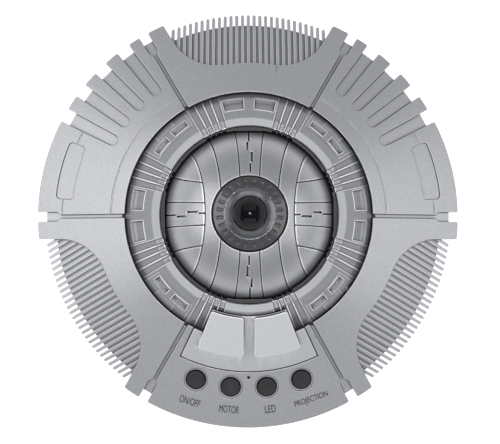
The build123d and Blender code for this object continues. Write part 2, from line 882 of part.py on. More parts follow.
def power_socket():
    """Small metal power inlet with a flange behind the skirt and a contact tongue."""
    face = skirt_radius - seat_gap
    shell = Box(socket_width, socket_depth, socket_height)
    shell = fillet(shell.edges().filter_by(Axis.Y), socket_height * 0.4)
    hollow = Box(socket_width - 2 * socket_wall, socket_depth, socket_height - 2 * socket_wall)
    hollow = fillet(hollow.edges().filter_by(Axis.Y), socket_height * 0.3)
    shell = shell - Pos(0, socket_wall * 4, 0) * hollow
    tongue = Box(socket_width * 0.6, socket_depth * 0.8, socket_height * 0.2)
    flange = Box(socket_flange_width, socket_flange_thickness, socket_flange_height)
    flange = flange - Box(socket_width - socket_wall, socket_depth, socket_height - socket_wall)
    # the flange lies on the curved skirt at its two ends
    half = socket_flange_width / 2
    inner = skirt_radius - skirt_wall
    flange_y = sqrt(inner**2 - half**2) - socket_flange_thickness / 2 - seat_gap
    place = Pos(0, face - socket_depth / 2, socket_level)
    socket = place * (shell + Pos(0, -socket_depth * 0.1, 0) * tongue)
    return socket + Pos(0, flange_y, socket_level) * flange


# ----------------------------------------------------------------- ball
def cap_side(side, grow):
    """Half-space beyond a side cap's plane, moved inwards by grow."""
    depth = ball_radius
    slab = Pos(cap_plane_distance - grow + depth / 2, 0, 0) * Box(depth, 4 * depth, 4 * depth)
    tilted = Rot(0, -cap_axis_tilt, 0) * slab
    return tilted if side > 0 else mirror(tilted, about=Plane.YZ)


def surface_lines(planes, along_y):
    """Thin slabs that engrave panel lines; each leans outwards as it goes down."""
    lines = Part()
    for offset, lean in planes:
        for side in (-1, 1):
            slab = Box(line_width, 4 * ball_radius, 2 * ball_radius)
            lean_angle = degrees(asin(lean / sqrt(1 + lean**2)))
            slab = Pos(offset, 0, ball_radius) * (Rot(0, -lean_angle, 0) * Pos(0, 0, -ball_radius) * slab)
            slab = slab if side > 0 else mirror(slab, about=Plane.YZ)
            lines = lines + (slab if along_y else Rot(0, 0, 90) * slab)
    return lines


def jog_marks():
    """Jogged joint line along +X, as four short slots side by side."""
    marks = Part()
    for start, end, offset, width in jog_slots:
        marks = marks + Pos((start + end) / 2, offset, ball_radius) * Box(end - start, width, 2 * ball_radius)
    return marks


def ball_ticks():
    """Small raised bars where the jogged joint line along +X steps across."""
    ticks = Part()
    for distance, offset, length, turn in jog_ticks:
        bar = Rot(0, 0, turn) * Box(tick_width, length, 2 * ball_radius)
        ticks = ticks + Pos(distance, offset, ball_radius) * bar
    return ticks


def in_skin(tools, outer, inner):
    """The part of the tools that lies in the skin of the ball's upper half."""
    upper = Pos(0, 0, 1.25 * ball_radius) * Box(4 * ball_radius, 4 * ball_radius, 2 * ball_radius)
    return (tools & upper) & (Sphere(outer) - Sphere(inner))


def with_lines(shell, lines, turns):
    """Engrave panel lines, and jogged lines with their raised ticks in the given directions."""
    shell = shell - in_skin(lines, ball_radius + 1, ball_radius - line_depth)
    for turn in turns:
        jogs = Rot(0, 0, turn) * jog_marks()
        ticks = Rot(0, 0, turn) * ball_ticks()
        shell = shell - in_skin(jogs, ball_radius + 1, ball_radius - jog_depth)
        shell = shell + in_skin(ticks, ball_radius + tick_rise, ball_radius - jog_depth)
    return shell


def spherical_shell():
    return Sphere(ball_radius) - Sphere(inner_ball_radius)


def ball_upper_shell():
    """Upper half of the ball between the two side caps, open for the focus ring."""
    upper = Pos(0, 0, ball_radius) * Box(4 * ball_radius, 4 * ball_radius, 2 * ball_radius)
    shell = (spherical_shell() & upper) - rod(ball_opening, 0, tall)
    for side in (-1, 1):
        shell = shell - cap_side(side, cap_gap)
    return ball_centre * with_lines(shell, surface_lines(band_lines, along_y=True), (90, 270))


def ball_lower_shell():
    """Lower half of the ball with the ledge that carries the optics plate."""
    lower = Pos(0, 0, -ball_radius) * Box(4 * ball_radius, 4 * ball_radius, 2 * ball_radius)
    bowl = spherical_shell() & lower
    ledge_outer = sqrt(inner_ball_radius**2 - equator_ledge_depth**2) + ball_wall / 4
    ledge = tube(ledge_outer, inner_ball_radius - equator_ledge_width, -equator_ledge_depth, 0)
    shell = bowl + ledge
    for side in (-1, 1):
        shell = shell - cap_side(side, cap_gap)
    split = Pos(0, 0, -seat_gap / 2) * Box(4 * ball_radius, 4 * ball_radius, seat_gap)
    return ball_centre * (shell - split)


def left_side_cap():
    """Cover on the side of the ball, with a bored boss for the pivot pin."""
    cap = spherical_shell() & cap_side(-1, 0)
    boss = rod(pin_boss_radius, inner_ball_radius - pin_boss_depth, inner_ball_radius + ball_wall / 4)
    boss = Rot(0, -90, 0) * boss
    bore = Rot(0, 90, 0) * Cylinder(pin_radius, 4 * ball_radius)
    return ball_centre * with_lines((cap + boss) - bore, surface_lines(cap_lines, along_y=False), (180,))


def pivot_pin(side):
    """Headed pin from inside the side cap out into the bracket's bushing."""
    head_inner = inner_ball_radius - pin_boss_depth - seat_gap
    pin = rod(pin_radius - close_gap, head_inner, pin_outer_reach)
    head = rod(pin_head_radius, head_inner - pin_head_thickness, head_inner)
    pin = Rot(0, 90, 0) * (pin + head)
    return ball_centre * (pin if side > 0 else mirror(pin, about=Plane.YZ))


def pivot_bracket(side):
    """Upright that holds a pivot bushing, standing on the floor of the pan."""
    width = 2 * bracket_half_width
    middle = (bracket_inner + bracket_outer) / 2
    thickness = bracket_outer - bracket_inner
    post_height = ball_height - pan_floor_top - seat_gap
    post = Pos(middle, 0, pan_floor_top + seat_gap + post_height / 2) * Box(thickness, width, post_height)
    eye = Pos(middle, 0, ball_height) * Rot(0, 90, 0) * Cylinder(bracket_half_width, thickness)
    foot_length = bracket_foot_outer - bracket_foot_inner
    foot = Pos(
        (bracket_foot_inner + bracket_foot_outer) / 2,
        0,
        pan_floor_top + seat_gap + bracket_foot_thickness / 2,
    ) * Box(foot_length, 2 * bracket_foot_half_length, bracket_foot_thickness)
    bore = Pos(middle, 0, ball_height) * Rot(0, 90, 0) * Cylinder(bushing_radius + close_gap, 2 * thickness)
    bracket = post + eye + foot - bore
    return bracket if side > 0 else mirror(bracket, about=Plane.YZ)


def pivot_bushings():
    bushings = Part()
    thickness = bracket_outer - bracket_inner
    middle = (bracket_inner + bracket_outer) / 2
    ring = tube(bushing_radius, pin_radius - close_gap + pin_clearance, -thickness / 2, thickness / 2)
    for side in (-1, 1):
        bushings = bushings + Pos(side * middle, 0, ball_height) * (Rot(0, 90, 0) * ring)
    return bushings


def friction_washers():
    """Washers on the inner face of the brackets that steady the tilt."""
    washers = Part()
    ring = tube(washer_radius, pin_radius - close_gap + fit_gap, -washer_thickness / 2, washer_thickness / 2)
    place = bracket_inner - seat_gap - washer_thickness / 2
    for side in (-1, 1):
        washers = washers + Pos(side * place, 0, ball_height) * (Rot(0, 90, 0) * ring)
    return washers


# ------------------------------------------------------ focus and lenses
def focus_ring():
    """Fluted ring that turns on the lens sleeve."""
    ring = turned([
        (focus_bore, focus_hub_bottom),
        (focus_hub_radius, focus_hub_bottom),
        (focus_hub_radius, focus_bottom),
        (focus_radius, focus_bottom),
        (focus_radius, focus_edge),
        (focus_step_radius, focus_step_height),
        (focus_step_radius - seat_gap, bezel_bottom),
        (focus_bore, bezel_bottom),
    ])
    rise = (focus_step_height - focus_edge) / (focus_radius - focus_step_radius)
    slope = degrees(asin(rise / sqrt(1 + rise**2)))
    middle_radius = (focus_radius + focus_step_radius) / 2 + flute_offset
    middle_height = focus_edge + (focus_radius - middle_radius) * rise
    place = Pos(middle_radius, 0, middle_height + flute_lift) * Rot(0, 90 + slope, 0)
    flute = place * Cylinder(flute_radius, flute_length)
    for end in (-1, 1):
        flute = flute + place * Pos(0, 0, end * flute_length / 2) * Sphere(flute_radius)
    flutes = Part()
    for index in range(flute_count):
        flutes = flutes + Rot(0, 0, 360 / flute_count * (index + 0.5)) * flute
    return ball_centre * (ring - flutes)


def focus_bezel():
    """Glossy dished ring pressed into the focus ring, round the lens barrel."""
    outer = focus_step_radius - 2 * seat_gap
    inner = barrel_radius + fit_gap
    return ball_centre * turned([
        (inner, bezel_bottom + seat_gap),
        (outer, bezel_bottom + seat_gap),
        (outer, focus_step_height - seat_gap),
        (inner, bezel_inner_height),
    ])


def lens_sleeve():
    """Fixed sleeve under the top of the ball in which the lens barrel slides."""
    inner = barrel_radius + fit_gap
    flange_bottom = sleeve_flange_top - sleeve_flange_thickness
    return ball_centre * turned([
        (inner, sleeve_bottom),
        (sleeve_radius, sleeve_bottom),
        (sleeve_radius, flange_bottom),
        (sleeve_flange_radius, flange_bottom),
        (sleeve_flange_radius, sleeve_flange_top),
        (sleeve_radius, sleeve_flange_top),
        (sleeve_radius, sleeve_top),
        (inner, sleeve_top),
    ])


def lens_barrel():
    """Black tube that carries both lenses, with a stepped rim at the front."""
    front_seat = front_glass_height
    return ball_centre * turned([
        (barrel_bore, barrel_bottom),
        (barrel_radius, barrel_bottom),
        (barrel_radius, barrel_top - barrel_chamfer),
        (barrel_radius - barrel_chamfer, barrel_top),
        (barrel_window + barrel_step_width, barrel_top),
        (barrel_window, barrel_top - barrel_step_depth),
        (barrel_window, front_seat),
        (barrel_bore, front_seat),
    ])


def glass_button(radius, bottom, edge, crown, outwards):
    """Lens with a cylindrical edge and one domed face, up or down."""
    curve = (radius**2 + crown**2) / (2 * crown)
    centre = edge - (curve - crown)
    body = rod(radius, 0, edge + crown) & Pos(0, 0, centre) * Sphere(curve)
    if not outwards:
        body = mirror(body, about=Plane.XY.offset(edge / 2))
    return Pos(0, 0, bottom) * body


def front_lens():
    """Front lens; its dome looks out through the window in the barrel."""
    bottom = front_glass_height - front_glass_thickness
    radius = barrel_bore - close_gap
    dome_radius = barrel_window - seat_gap
    disc = rod(radius, bottom, front_glass_height - seat_gap / 2)
    dome = glass_button(dome_radius, front_glass_height - seat_gap, seat_gap, front_glass_crown, True)
    return ball_centre * (disc + dome)


def rear_lens():
    radius = barrel_bore - close_gap
    return ball_centre * glass_button(radius, rear_glass_height, rear_glass_thickness, rear_glass_crown, False)


def lens_retainer():
    """Threaded spacer tube that clamps the front lens against its seat."""
    top = front_glass_height - front_glass_thickness - close_gap
    radius = barrel_bore - close_gap
    return ball_centre * tube(radius, radius - retainer_wall, top - retainer_height, top)


# ------------------------------------------------------- optics engine
def optics_plate():
    """Plate across the ball with the hub on which the star disc turns."""
    plate = rod(inner_ball_radius - fit_gap - seat_gap, seat_gap, plate_thickness)
    hub = tube(hub_radius, hub_inner_radius, plate_thickness, plate_thickness + hub_height)
    lamp_tube = tube(lamp_tube_radius, lamp_tube_bore, -lamp_tube_depth, plate_thickness)
    plate = plate + hub + lamp_tube - rod(lamp_tube_bore, -tall, tall)
    motor_hole = Pos(pinion_distance, -idler_distance) * rod(motor_boss_radius + fit_gap, -tall, tall)
    plate = plate - motor_hole
    for side in (-1, 1):
        plate = plate - cap_side(side, cap_gap + ball_wall)
    return ball_centre * plate


def gear(teeth, bottom, top, bore):
    """Spur gear with straight-sided tapered teeth."""
    pitch_radius = gear_module * teeth / 2
    outer = pitch_radius + gear_module * tooth_addendum
    root = pitch_radius - gear_module * tooth_dedendum
    tip_half = 180 / teeth * tooth_share * tooth_tip_share
    root_half = 180 / teeth * tooth_share * tooth_root_share
    outline = Sketch() + Circle(root)
    for index in range(teeth):
        angle = 360 / teeth * index
        tooth = make_face(Polyline(
            polar(root - tooth_root_sink, angle - root_half),
            polar(outer, angle - tip_half),
            polar(outer, angle + tip_half),
            polar(root - tooth_root_sink, angle + root_half),
            close=True,
        ))
        outline = outline + tooth
    outline = outline - Circle(bore)
    return Pos(0, 0, bottom) * extrude(outline, top - bottom)


def disc_gear():
    """Ring gear that carries the star disc round the hub."""
    top = gear_bottom + gear_height
    ring = Rot(0, 0, 180 / disc_teeth) * gear(disc_teeth, gear_bottom, top, hub_radius + fit_gap)
    recess = rod(disc_radius + close_gap, top - disc_thickness, top + 1)
    return ball_centre * (ring - recess)


def star_disc():
    """Thin glass disc with the star picture, seated in its gear."""
    top = gear_bottom + gear_height
    return ball_centre * rod(disc_radius, top - disc_thickness + close_gap / 2, top)


def disc_clamp():
    """Thin ring over the edge of the star disc and the face of its gear."""
    bottom = gear_bottom + gear_height + close_gap
    outer = disc_radius + clamp_outer_overlap
    return ball_centre * tube(outer, disc_radius - clamp_inner_overlap, bottom, bottom + clamp_height)


def idler_gear():
    wheel = gear(idler_teeth, gear_bottom, gear_bottom + gear_height, axle_radius + axle_clearance)
    return ball_centre * Pos(0, -idler_distance, 0) * wheel


def idler_axle():
    """Headed pin that the idler turns on, set in the optics plate."""
    top = gear_bottom + gear_height + fit_gap
    axle = rod(axle_radius, plate_thickness + close_gap, top)
    head = rod(axle_head_radius, top, top + axle_head_thickness)
    return ball_centre * Pos(0, -idler_distance, 0) * (axle + head)


def motor_pinion():
    """Pinion and the motor's output shaft, which turn together."""
    wheel = gear(pinion_teeth, gear_bottom, gear_bottom + gear_height, shaft_radius / 2)
    wheel = Rot(0, 0, 180 / pinion_teeth) * wheel
    shaft = rod(shaft_radius, -plate_thickness / 4, gear_bottom + gear_height)
    return ball_centre * Pos(pinion_distance, -idler_distance, 0) * (wheel + shaft)


def motor():
    """Small geared motor under the optics plate, with two flats and a locating boss."""
    can = rod(motor_radius, -motor_length, -seat_gap / 2)
    can = can & Box(3 * motor_radius, 2 * motor_flat, 4 * motor_length)
    boss = rod(motor_boss_radius, -seat_gap, plate_thickness - fit_gap)
    can = can + boss - rod(shaft_radius + axle_clearance, -plate_thickness / 2, tall)
    end_cap = rod(motor_cap_radius, -motor_length - motor_cap_height, -motor_length)
    return ball_centre * Pos(pinion_distance, -idler_distance, 0) * (can + end_cap)


def condenser_lens():
    radius = lamp_tube_bore - close_gap
    bottom = -condenser_edge - condenser_crown
    return ball_centre * glass_button(radius, bottom, condenser_edge, condenser_crown, True)


def projection_led():
    """Star-shaped lamp board with its bright diode under the condenser lens."""
    bottom = -lamp_tube_depth + seat_gap
    board = rod(led_board_radius, bottom, bottom + board_thickness)
    for index in range(6):
        notch = Cylinder(led_board_notch, 4 * board_thickness)
        board = board - Pos(*polar(led_board_radius, 60 * index), bottom) * notch
    diode = Pos(0, 0, bottom + board_thickness) * (Sphere(led_radius) & rod(led_radius, 0, led_radius))
    return ball_centre * (board + diode)


def heat_sink():
    """Finned aluminium plate that closes the lamp tube from below."""
    top = -lamp_tube_depth
    base = rod(heat_sink_radius, top - heat_sink_base, top)
    fins = Part()
    pitch = 2 * heat_sink_radius / fin_count
    for index in range(fin_count):
        x = (index - (fin_count - 1) / 2) * pitch
        fin_height = top - heat_sink_base - heat_sink_fin / 2
        fins = fins + Pos(x, 0, fin_height) * Box(fin_thickness, 2 * heat_sink_radius, heat_sink_fin)
    column = rod(heat_sink_radius, top - heat_sink_base - heat_sink_fin, top)
    return ball_centre * (base + (fins & column))


# --------------------------------------------------------------- output
def main():
    save("foot_ring", foot_ring())
    save("base_pan", base_pan())
    save("base_screws", base_screws())
    save("deck_housing", deck_housing())
    for name, middle in (("rear", 90), ("left", 210), ("right", 330)):
        save(f"{name}_rib_grille", rib_grille(middle))
        save(f"{name}_arm_panel", arm_panel(middle))
    right_fingers = finger_panel()
    save("right_finger_panel", right_fingers)
    save("left_finger_panel", mirror(right_fingers, about=Plane.YZ))
    save("control_panel", control_panel())
    save("front_ramp", front_ramp())
    save("collar_ring", collar_ring())
    save("trim_ring", trim_ring())
    save("lamp_board", lamp_board())
    save("lamp_chips", lamp_chips())
    for name, angle in button_angles.items():
        save(f"{name}_button", button(angle))
    save("tact_switches", tact_switches())
    save("button_board", button_board())
    save("indicator_light", indicator_light())
    save("main_board", main_board())
    save("board_components", board_components())
    save("power_socket", power_socket())
    for name, side in (("left", -1), ("right", 1)):
        save(f"{name}_pivot_bracket", pivot_bracket(side))
        save(f"{name}_pivot_pin", pivot_pin(side))
    cap = left_side_cap()
    save("left_side_cap", cap)
    save("right_side_cap", Rot(0, 0, 180) * cap)
    save("pivot_bushings", pivot_bushings())
    save("friction_washers", friction_washers())
    save("ball_upper_shell", ball_upper_shell())
    save("ball_lower_shell", ball_lower_shell())
    save("optics_plate", optics_plate())
    save("lens_sleeve", lens_sleeve())
    save("focus_ring", focus_ring())
    save("focus_bezel", focus_bezel())
    save("lens_barrel", lens_barrel())
    save("front_lens", front_lens())
    save("rear_lens", rear_lens())
    save("lens_retainer", lens_retainer())
    save("disc_gear", disc_gear())
    save("star_disc", star_disc())
    save("disc_clamp", disc_clamp())
    save("idler_gear", idler_gear())
    save("idler_axle", idler_axle())
    save("motor_pinion", motor_pinion())
    save("motor", motor())
    save("condenser_lens", condenser_lens())
    save("projection_led", projection_led())
    save("heat_sink", heat_sink())


main()
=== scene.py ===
# %% [markdown]
# # A home planetarium projector
# The real object is a saucer of moulded silver panels with a collar in the middle. A ball tilts in the
# collar and carries the focus ring and the lens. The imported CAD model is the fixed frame: every body of
# it can turn or slide, and each piece made here rides on one of them. Blender adds what a moulding shop
# and a paint shop add: eased edges, satin lacquer, gloss, print and glass.

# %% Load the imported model
import json
from math import atan2, cos, hypot, radians, sin, tan

import bmesh
import bpy
from mathutils import Matrix, Vector

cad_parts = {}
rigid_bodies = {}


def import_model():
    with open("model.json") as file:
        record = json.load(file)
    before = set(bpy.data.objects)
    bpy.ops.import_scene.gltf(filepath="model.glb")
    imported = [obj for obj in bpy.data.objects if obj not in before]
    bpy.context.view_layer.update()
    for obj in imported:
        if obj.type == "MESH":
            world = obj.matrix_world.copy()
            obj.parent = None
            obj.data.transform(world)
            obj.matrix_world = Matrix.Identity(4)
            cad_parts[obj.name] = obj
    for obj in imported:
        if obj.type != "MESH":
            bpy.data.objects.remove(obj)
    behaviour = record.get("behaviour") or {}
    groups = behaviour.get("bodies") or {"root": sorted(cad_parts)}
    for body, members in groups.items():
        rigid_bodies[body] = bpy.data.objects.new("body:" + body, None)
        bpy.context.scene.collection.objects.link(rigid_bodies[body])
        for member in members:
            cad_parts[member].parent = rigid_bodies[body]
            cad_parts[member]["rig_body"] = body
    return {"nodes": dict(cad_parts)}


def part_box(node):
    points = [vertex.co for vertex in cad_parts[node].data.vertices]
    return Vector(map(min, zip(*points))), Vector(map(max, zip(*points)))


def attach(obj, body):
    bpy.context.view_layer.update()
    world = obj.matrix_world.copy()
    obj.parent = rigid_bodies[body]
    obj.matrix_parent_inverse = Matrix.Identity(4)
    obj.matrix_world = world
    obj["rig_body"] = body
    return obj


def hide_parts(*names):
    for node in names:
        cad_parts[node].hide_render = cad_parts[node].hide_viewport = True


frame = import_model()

MM = 0.001
scene = bpy.context.scene
cad_nodes = frame["nodes"]
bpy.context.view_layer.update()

# %% [markdown]
# ## The camera
# The photograph looks straight down from about 0.8 m. The tall ball and lens shift against the rim, and
# that shift tells where the camera stood: a little to the left of and in front of the middle. A camera
# that looks almost straight down has no natural "up", so its three axes are built one by one, with +Y up.

# %% Camera above the projector
camera_place = Vector((-10.0, -22.0, 840.0)) * MM
camera_target = Vector((0.9, -2.6, 40.0)) * MM
camera_lens = 110.1     # mm, on a sensor 36 mm wide

look = (camera_target - camera_place).normalized()
right = look.cross(Vector((0, 1, 0))).normalized()
camera_data = bpy.data.cameras.new("camera")
camera_data.lens = camera_lens
camera = bpy.data.objects.new("camera", camera_data)
scene.collection.objects.link(camera)
axes = Matrix((right, right.cross(look), -look)).transposed().to_4x4()
camera.matrix_world = Matrix.Translation(camera_place) @ axes
scene.camera = camera
print("camera", [round(c, 3) for c in camera.location])

# %% [markdown]
# ## Light and floor
# Two large softboxes stand left and right at about 37 degrees, the left one stronger. The satin panels
# that lean to a softbox mirror it towards the camera and turn bright, and those at the front and rear
# stay darker. Two more, high at the rear and the front, light the level parts, and a small flash close to
# the camera puts the spark in the lens. A pale world fills the rest.

# %% Softboxes
scene.view_settings.view_transform = "Standard"
stage_middle = Vector((0, 0, 0.05))


def softbox(name, azimuth, elevation, distance, size, power):
    """Rectangular lamp that faces the projector, from a direction given in degrees."""
    around, above = radians(azimuth), radians(elevation)
    away = Vector((cos(around) * cos(above), sin(around) * cos(above), sin(above)))
    data = bpy.data.lights.new(name, "AREA")
    data.shape = "RECTANGLE"
    data.size, data.size_y = size
    data.energy = power
    lamp = bpy.data.objects.new(name, data)
    lamp.location = stage_middle + away * distance
    lamp.rotation_euler = away.to_track_quat("Z", "Y").to_euler()
    scene.collection.objects.link(lamp)
    print(name, "at", [round(c, 2) for c in lamp.location])


softbox("softbox_left", 174, 37, 1.1, (1.2, 0.8), 6.0)
softbox("softbox_right", 356, 37, 1.1, (1.1, 0.8), 4.0)
softbox("softbox_rear", 90, 62, 1.5, (1.2, 0.8), 3.4)
softbox("softbox_front", 270, 58, 1.5, (1.2, 0.8), 5.2)
softbox("camera_flash", 65, 88.2, 0.87, (0.08, 0.08), 1.0)

# %% [markdown]
# ## Helpers for materials
# Colours are written as on a screen, in sRGB hex, and one function turns them to the linear values that
# a shader adds up. One more function adds a node, sets its values and joins its inputs, so that each
# material reads as a short recipe. Patterns are sized in millimetres on Object coordinates.


# %% Colour and node helpers
def linear(colour):
    """Linear RGBA of an sRGB hex colour such as '#a0a1a3'."""
    shares = [int(colour[place:place + 2], 16) / 255 for place in (1, 3, 5)]
    return (*(s / 12.92 if s <= 0.04045 else ((s + 0.055) / 1.055) ** 2.4 for s in shares), 1.0)


def add(material, kind, inputs, **settings):
    """Add a shader node; an input takes a value or a hex colour, or is joined if it is given a socket."""
    node = material.node_tree.nodes.new(kind)
    for name, value in settings.items():
        setattr(node, name, value)
    for name, value in inputs.items():
        if isinstance(value, bpy.types.NodeSocket):
            material.node_tree.links.new(value, node.inputs[name])
        else:
            node.inputs[name].default_value = linear(value) if isinstance(value, str) else value
    return node


print("#a0a1a3 is, as a shader counts it,", [round(share, 3) for share in linear("#a0a1a3")])

# %% [markdown]
# Every finish starts as a new material whose Principled shader gets the values that are the same all over
# the surface. What changes over the surface, its colour and its bump, is then joined to it.


# %% Begin a material and join a pattern to it
def begin(name, **values):
    """New material with its Principled shader set; returns it, the shader and Object coordinates."""
    material = bpy.data.materials.new(name)
    material.use_nodes = True
    shader = material.node_tree.nodes["Principled BSDF"]
    for socket, value in values.items():
        shader.inputs[socket.replace("_", " ")].default_value = value
    place = add(material, "ShaderNodeTexCoord", {}).outputs["Object"]
    return material, shader, place


def join(material, output, shader, socket):
    """Lead a pattern into one of the shader's sockets."""
    material.node_tree.links.new(output, shader.inputs[socket])


def changing(material, share, start, full, first, second, most=1.0):
    """Colour that goes from the first to the second, at most so far, as a share goes from start to full."""
    amount = add(material, "ShaderNodeMapRange", {
        "Value": share, "From Min": start, "From Max": full, "To Min": 0.0, "To Max": most,
    })
    inputs = {0: amount.outputs["Result"], 6: first, 7: second}
    return add(material, "ShaderNodeMix", inputs, data_type="RGBA").outputs[2]


print("materials can be begun")

# %% [markdown]
# A moulded plastic takes the grain of its steel mould, which sparks have eroded. One noise serves both for
# the faint shading of its colour and for its relief, so that the two agree.


# %% Plastic with the grain of its mould
def moulded(name, dark, light, grain, roughness, depth=0.03, **values):
    """Plastic with a fine spark-eroded grain, so many millimetres wide and deep."""
    material, shader, place = begin(name, Roughness=roughness, **values)
    noise = add(material, "ShaderNodeTexNoise", {
        "Vector": place, "Scale": 1 / (grain * MM), "Detail": 2.0, "Roughness": 0.6,
    }).outputs["Fac"]
    bump = add(material, "ShaderNodeBump", {"Height": noise, "Distance": depth * MM, "Strength": 0.4})
    join(material, changing(material, noise, 0.35, 0.65, dark, light), shader, "Base Color")
    join(material, bump.outputs["Normal"], shader, "Normal")
    return material


print("plastics can be moulded")

# %% [markdown]
# ## Silver lacquer
# The visible shell is ABS sprayed with satin silver lacquer. Its fine aluminium flakes speckle the colour,
# and its broad gloss turns from light to dark as a surface leans. Its edges get a painted highlight, its
# hollows a painted shade, and the narrow gaps between pieces a painted shade that is almost black. All
# three come from Ambient Occlusion nodes: one looks inwards for edges, a wide one outwards for hollows,
# and a narrow one outwards for gaps. Each part of the shell gets its own tone, painted lighter where it
# takes more light and darker where it stands in shade.


# %% Silver lacquer on moulded ABS
def painted_shade(material, colour, shade, reach, start, full, most):
    """Colour that turns to a painted shade where other surfaces stand within a reach in millimetres."""
    near = add(material, "ShaderNodeAmbientOcclusion", {"Distance": reach * MM}, samples=8)
    return changing(material, near.outputs["AO"], start, full, colour, shade, most)


def silver_lacquer(name, dark, light, edge, roughness=0.42, metallic=0.6, hollow_shade=0.3, reach=2.0, painted_highlight=0.8):
    """Satin metallic lacquer; two arguments say how strongly a painted shade in hollows within reach and a
    painted highlight on edges show.
    """
    material, shader, place = begin(name, Roughness=roughness, Metallic=metallic)
    # real flakes are 0.03 mm; they are drawn 0.5 mm large so that they show
    flakes = add(material, "ShaderNodeTexNoise", {
        "Vector": place, "Scale": 1 / (0.5 * MM), "Detail": 3.0, "Roughness": 0.6,
    }).outputs["Fac"]
    # the spray lies unevenly in patches of about 6 mm
    patches = add(material, "ShaderNodeTexNoise", {
        "Vector": place, "Scale": 1 / (6.0 * MM), "Detail": 2.0, "Roughness": 0.6,
    }).outputs["Fac"]
    body = changing(material, flakes, 0.3, 0.7, dark, light)
    # painted highlight: an inward Ambient Occlusion finds thin edges, and they turn to the edge colour
    edge_reach = {"Distance": 0.7 * MM}
    edges = add(material, "ShaderNodeAmbientOcclusion", edge_reach, inside=True, samples=8, only_local=True)
    lit = changing(material, edges.outputs["AO"], 0.95, 0.55, body, edge, painted_highlight)
    # painted shade: a wide one darkens hollows within reach, and a narrow, almost black one darkens the
    # gaps between pieces
    soft = painted_shade(material, lit, "#38393b", reach, 0.85, 0.2, hollow_shade)
    join(material, painted_shade(material, soft, "#0b0b0c", 0.9, 0.92, 0.5, 0.95), shader, "Base Color")
    height = add(material, "ShaderNodeMath", {0: flakes, 1: patches}, operation="ADD").outputs["Value"]
    bump = add(material, "ShaderNodeBump", {"Height": height, "Distance": 0.02 * MM, "Strength": 0.25})
    join(material, bump.outputs["Normal"], shader, "Normal")
    return material


# deck panels: mid silver, calm, with faint outlines of painted highlight and painted shade
lacquer = silver_lacquer(
    "silver lacquer sprayed on moulded ABS", "#98999c", "#b3b4b7", "#d4d5d7", painted_highlight=0.5,
)
# lower layer: painted a shade lighter, as painted light on the floors of the slots, so that they read as
# sunk and not as holes
layer_lit_lacquer = silver_lacquer(
    "silver lacquer on the lower layer", "#9fa0a3", "#b8b9bc", "#d0d1d3", hollow_shade=0.1,
)
# grilles: duller, because the spray dries rough between close ribs
grille_lacquer = silver_lacquer(
    "silver lacquer on ribbed ABS", "#999a9d", "#b3b4b7", "#dcdddf", 0.45, 0.5, hollow_shade=0.2,
)
# collar: painted the darkest silver, as its steep cone stands in shade, with painted white highlights on
# its edges and a painted shade, nearly black, in its grooves
collar_shaded_lacquer = silver_lacquer(
    "silver lacquer on the ribbed collar", "#77787b", "#8f9093", "#f2f2f3", 0.4, 0.6,
    hollow_shade=0.85, reach=1.5, painted_highlight=1.0,
)
# lip: painted lighter than the cone below it, as painted light on its level top, and matt
lip_lit_lacquer = silver_lacquer(
    "silver lacquer on the lip", "#8f9093", "#a5a6a8", "#d2d3d5", 0.45, 0.45, painted_highlight=0.5,
)
# ramp: painted light silver, as painted light on its flatter slope, with a painted shade in the trough
# between its pads
ramp_lit_lacquer = silver_lacquer(
    "silver lacquer on the front ramp", "#b2b3b6", "#c7c8cb", "#dcdddf", 0.42, 0.45, hollow_shade=0.8, reach=2.6,
)
# pads: painted the lightest silver, as painted light, with painted white highlights on their outlines
pad_lit_lacquer = silver_lacquer(
    "silver lacquer on the raised pads", "#c2c3c6", "#d7d8da", "#ffffff", 0.42, 0.4, painted_highlight=1.0,
)
# ball: glossier and more metallic; a wide painted shade darkens it towards the collar
ball_lacquer = silver_lacquer(
    "silver lacquer on the ball", "#939497", "#acadb0", "#e0e1e3", 0.38, 0.7, hollow_shade=0.7, reach=13.0,
)
print("lacquers:", lacquer.name, "/", grille_lacquer.name, "/", collar_shaded_lacquer.name, "/", ball_lacquer.name)

# %% [markdown]
# ## Other finishes
# Each starts from the common values of what the real piece is made of. Plastics have an IOR near 1.5 and
# no metallic share; metals keep Blender's own IOR and differ in colour and roughness.

# %% Plastics and rubber
# spark-eroded grey ABS of the bowl, dull, with a visible grain
grey_abs = moulded("spark eroded grey ABS", "#6f7174", "#7b7d80", 0.8, 0.55, 0.06)
# black ABS inside the ball, almost matt so that it kills stray light
black_abs = moulded("moulded black ABS", "#0d0d0e", "#151516", 0.6, 0.5, Specular_IOR_Level=0.3)
# smoked polycarbonate round the ball: so dark that it looks solid while its lamps are off
smoked = moulded("smoked polycarbonate", "#2c2d2f", "#353638", 2.0, 0.25, 0.01, Specular_IOR_Level=0.15)
# gloss black ABS of the focus ring, with a hard clear coat
gloss_black = moulded(
    "gloss black ABS", "#2a2b2d", "#353638", 3.0, 0.3, 0.01, Coat_Weight=1.0, Coat_Roughness=0.14,
)
# dark metallic lacquer of the dished bezel: its two sides mirror the softboxes as bright crescents
bezel_lacquer = moulded("dark metallic lacquer", "#67686c", "#737478", 3.0, 0.25, 0.01, Metallic=0.75)
# button caps: charcoal ABS with a matt grain
button_abs = moulded("moulded charcoal ABS", "#222224", "#2b2b2d", 0.5, 0.5, Specular_IOR_Level=0.35)
# acetal gears: waxy white with a soft sheen
acetal = moulded("moulded white acetal", "#e2e0d8", "#ecebe4", 1.5, 0.4, 0.01, Subsurface_Weight=0.1)
# rubber foot ring: near black, no gloss
rubber = moulded("moulded nitrile rubber", "#161617", "#212122", 0.9, 0.85, 0.08)
# pad-printed ink of the labels: flat and dark grey
ink = moulded("pad printed grey ink", "#3a3b3d", "#454648", 0.4, 0.6, 0.005)
print("plastics:", grey_abs.name, "/", smoked.name, "/", gloss_black.name, "/", bezel_lacquer.name)

# %% [markdown]
# Metals: a zinc coat is slightly blue with a spangle, sintered bronze is porous and warm, and the
# aluminium heat sink shows the drawing lines of its extrusion.


